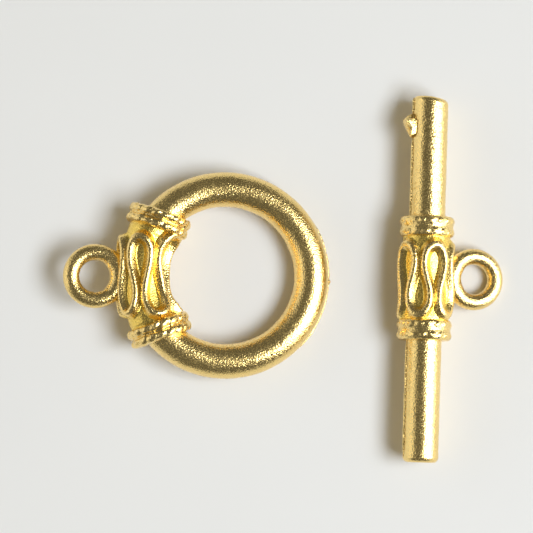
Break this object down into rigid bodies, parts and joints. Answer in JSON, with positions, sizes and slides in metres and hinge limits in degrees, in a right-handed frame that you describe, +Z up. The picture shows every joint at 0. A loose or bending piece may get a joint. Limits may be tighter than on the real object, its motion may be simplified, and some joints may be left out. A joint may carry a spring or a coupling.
{
  "type": "toggle clasp",
  "caption": "Gold-coloured cast toggle clasp lying open: a ring half and a bar half, each with a raised meander between rope collars and a small eye for the strand.",
  "frame": {"origin": "middle of the pair's outline on the floor that both halves rest on", "axes": "+X from the ring half's eye towards the bar half's eye, +Y along the bar towards its sprue nub, +Z up"},
  "size_m": [0.0274, 0.0228, 0.004],
  "materials": {
    "gold_plate": "bright gold plate over a zinc casting, with a fine cast grain"
  },
  "bodies": {
    "root": {"toggle_ring": "gold_plate", "toggle_bar": "gold_plate"}
  },
  "joints": []
}
